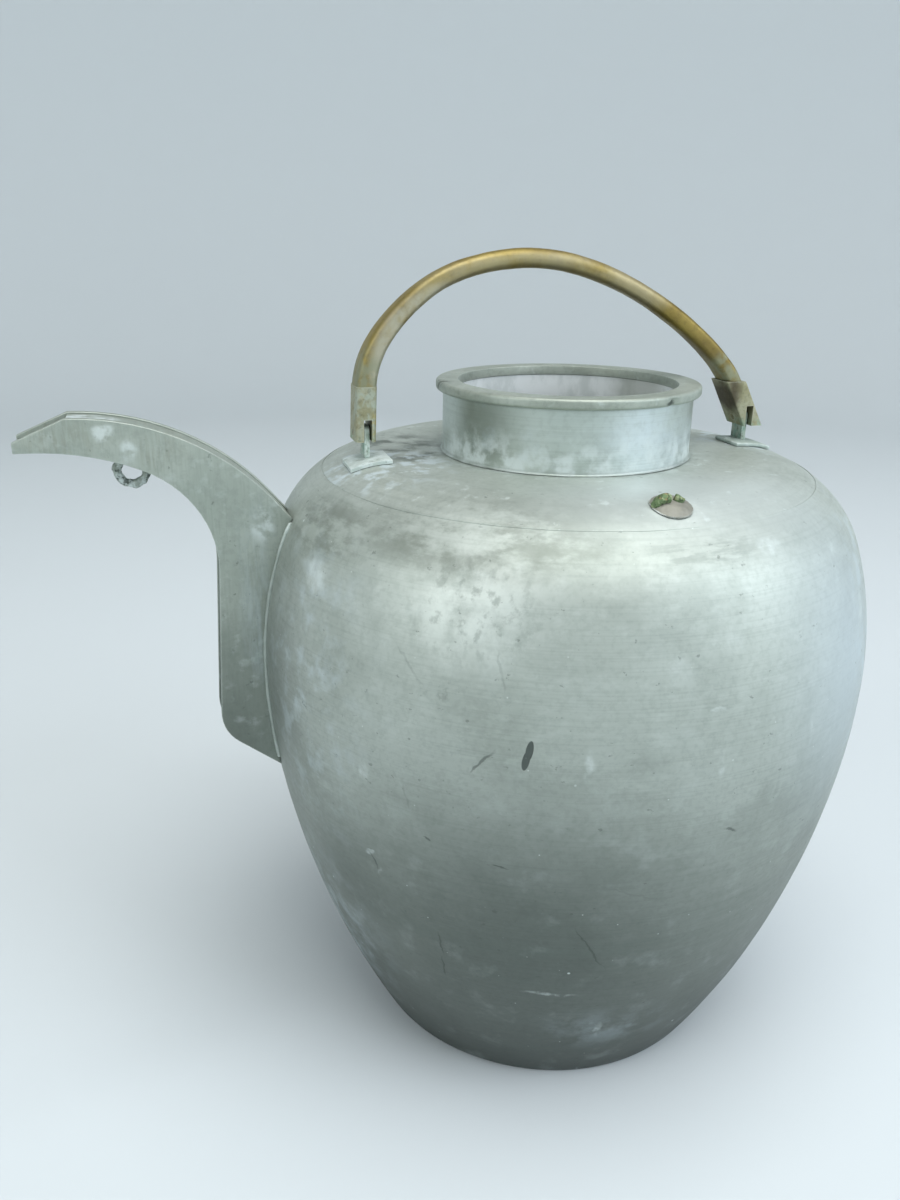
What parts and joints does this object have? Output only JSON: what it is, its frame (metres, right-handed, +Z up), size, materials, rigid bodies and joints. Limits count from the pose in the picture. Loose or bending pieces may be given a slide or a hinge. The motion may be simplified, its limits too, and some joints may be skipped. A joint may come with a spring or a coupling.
{
  "type": "sake ewer",
  "caption": "Jar-shaped pewter sake ewer with a short neck, a narrow plate-built spout with a slanting mouth and a brass bail that swings on pinned lugs on the shoulder.",
  "frame": {"origin": "middle of the flat base, on the body's axis", "axes": "+Z up through the neck, -X towards the spout, so the bail spans along X and -Y is the side with the broken eye"},
  "size_m": [0.2116, 0.16, 0.2077],
  "materials": {
    "turned_pewter": "aged satin pewter with turning lines",
    "shoulder_pewter": "aged satin pewter with pale oxide",
    "neck_pewter": "aged satin pewter with pale oxide",
    "rim_pewter": "rubbed olive-grey pewter",
    "spout_pewter": "brushed pewter plate",
    "loop_pewter": "corroded pale pewter",
    "pad_pewter": "soldered pale pewter",
    "tab_brass": "verdigris over brass",
    "eye_copper": "green patina over copper alloy",
    "bail_brass": "worn olive-gold brass",
    "block_brass": "dull tan-grey brass",
    "pin_brass": "dark brass"
  },
  "bodies": {
    "vessel": {"body_wall": "turned_pewter", "base_disc": "turned_pewter", "shoulder_plate": "shoulder_pewter", "neck_collar": "neck_pewter", "neck_rim": "rim_pewter", "spout_side_near": "spout_pewter", "spout_side_far": "spout_pewter", "spout_top_strip": "spout_pewter", "spout_underside_strip": "spout_pewter", "spout_loop": "loop_pewter", "lug_pad_left": "pad_pewter", "lug_pad_right": "pad_pewter", "lug_tab_left": "tab_brass", "lug_tab_right": "tab_brass", "eye_boss": "pad_pewter", "eye_stubs": "eye_copper"},
    "bail": {"bail_bar": "bail_brass", "bail_block_left": "block_brass", "bail_block_right": "block_brass", "hinge_pin_left": "pin_brass", "hinge_pin_right": "pin_brass"}
  },
  "joints": [
    {"name": "bail_hinge", "type": "hinge", "parent": "vessel", "child": "bail", "pos_m": [0, 0, 0.1652], "axis": [1, 0, 0], "range_deg": [-64, 64]}
  ]
}
